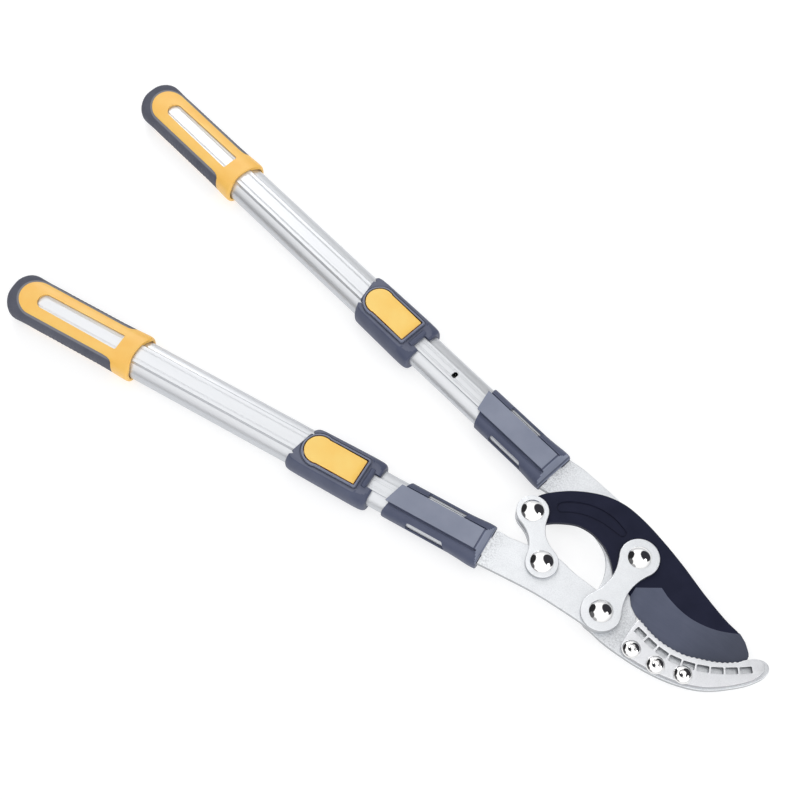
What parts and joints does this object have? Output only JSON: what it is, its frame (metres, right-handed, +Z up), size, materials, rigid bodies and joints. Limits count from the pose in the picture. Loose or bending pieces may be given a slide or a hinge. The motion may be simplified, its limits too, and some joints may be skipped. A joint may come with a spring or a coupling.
{
  "type": "telescopic anvil lopper",
  "caption": "Compound-action anvil lopper lying closed, with a dark blade, a slotted anvil, linked plates and telescopic oval handles that have lock buttons and two-tone grips.",
  "frame": {"origin": "centre of the footprint on the surface that the lopper lies on", "axes": "+X from the grips to the jaw along the bisector of the two handles, +Y towards the handle that carries the anvil frame, +Z up from the surface through the heads of the pivot bolts"},
  "size_m": [0.7067, 0.2518, 0.0287],
  "materials": {
    "zinc_plate": "bright zinc plate, fine speckle",
    "anvil_casting": "plated casting, satin",
    "blade_coating": "dark low-friction coating, satin",
    "chrome": "polished",
    "plain_steel": "plain",
    "aluminium_tube": "clear anodised, satin, fine lengthwise lines",
    "nylon": "moulded",
    "grey_plastic": "moulded, satin",
    "orange_plastic": "moulded, semi-gloss",
    "grey_rubber": "soft grip, matt"
  },
  "bodies": {
    "frame": {"anvil_frame": "zinc_plate", "anvil_insert": "anvil_casting", "anvil_screw_1": "chrome", "anvil_screw_2": "chrome", "anvil_screw_3": "chrome", "bridge_link": "zinc_plate", "arm_bolt": "chrome", "blade_bolt": "chrome", "arm_washer": "plain_steel", "blade_washer": "plain_steel", "arm_nut": "plain_steel", "blade_nut": "plain_steel", "upper_inner_tube": "aluminium_tube", "upper_guide_bush": "nylon", "upper_sleeve": "grey_plastic", "upper_tang_rivet_1": "plain_steel", "upper_tang_rivet_2": "plain_steel"},
    "lower_arm": {"lower_arm": "zinc_plate", "link_rivet": "chrome", "lower_inner_tube": "aluminium_tube", "lower_guide_bush": "nylon", "lower_sleeve": "grey_plastic", "lower_tang_rivet_1": "plain_steel", "lower_tang_rivet_2": "plain_steel"},
    "links": {"small_link_front": "zinc_plate", "small_link_rear": "zinc_plate", "tail_rivet": "chrome"},
    "blade": {"blade": "blade_coating"},
    "upper_handle": {"upper_outer_tube": "aluminium_tube", "upper_lock_housing": "grey_plastic", "upper_housing_screw": "plain_steel", "upper_button_pin": "plain_steel", "upper_button_spring": "plain_steel", "upper_grip_core": "orange_plastic", "upper_grip_cover": "grey_rubber"},
    "upper_button": {"upper_lock_button": "orange_plastic", "upper_lock_catch": "plain_steel"},
    "lower_handle": {"lower_outer_tube": "aluminium_tube", "lower_lock_housing": "grey_plastic", "lower_housing_screw": "plain_steel", "lower_button_pin": "plain_steel", "lower_button_spring": "plain_steel", "lower_grip_core": "orange_plastic", "lower_grip_cover": "grey_rubber"},
    "lower_button": {"lower_lock_button": "orange_plastic", "lower_lock_catch": "plain_steel"}
  },
  "joints": [
    {"name": "lower_arm_pivot", "type": "hinge", "parent": "frame", "child": "lower_arm", "pos_m": [0.231, -0.0338, 0.016], "axis": [0, 0, 1], "range_deg": [0, 50]},
    {"name": "blade_pivot", "type": "hinge", "parent": "frame", "child": "blade", "pos_m": [0.2296, 0.0185, 0.016], "axis": [0, 0, 1], "range_deg": [0, 30.6]},
    {"name": "link_pivot", "type": "hinge", "parent": "lower_arm", "child": "links", "pos_m": [0.174, -0.0299, 0.016], "axis": [0, 0, 1], "range_deg": [-61.1, 0]},
    {"name": "upper_handle_slide", "type": "slide", "parent": "frame", "child": "upper_handle", "axis": [-0.9897, 0.143, 0], "range_m": [-0.053, 0.159]},
    {"name": "lower_handle_slide", "type": "slide", "parent": "lower_arm", "child": "lower_handle", "axis": [-0.9897, -0.143, 0], "range_m": [0, 0.212]},
    {"name": "upper_lock_button", "type": "hinge", "parent": "upper_handle", "child": "upper_button", "pos_m": [-0.05284, 0.06492, 0.0261], "axis": [-0.143, -0.9897, 0], "range_deg": [0, 4], "stiffness_Nm_per_rad": 0.2, "springref_deg": -2.86, "deforming": ["upper_button_spring"]},
    {"name": "lower_lock_button", "type": "hinge", "parent": "lower_handle", "child": "lower_button", "pos_m": [-0.00654, -0.06492, 0.0261], "axis": [0.143, -0.9897, 0], "range_deg": [0, 4], "stiffness_Nm_per_rad": 0.2, "springref_deg": -2.86, "deforming": ["lower_button_spring"]}
  ],
  "couplings": [
    {"joint": "blade_pivot", "follows": "lower_arm_pivot", "ratio": 0.61},
    {"joint": "link_pivot", "follows": "lower_arm_pivot", "ratio": -1.22}
  ]
}
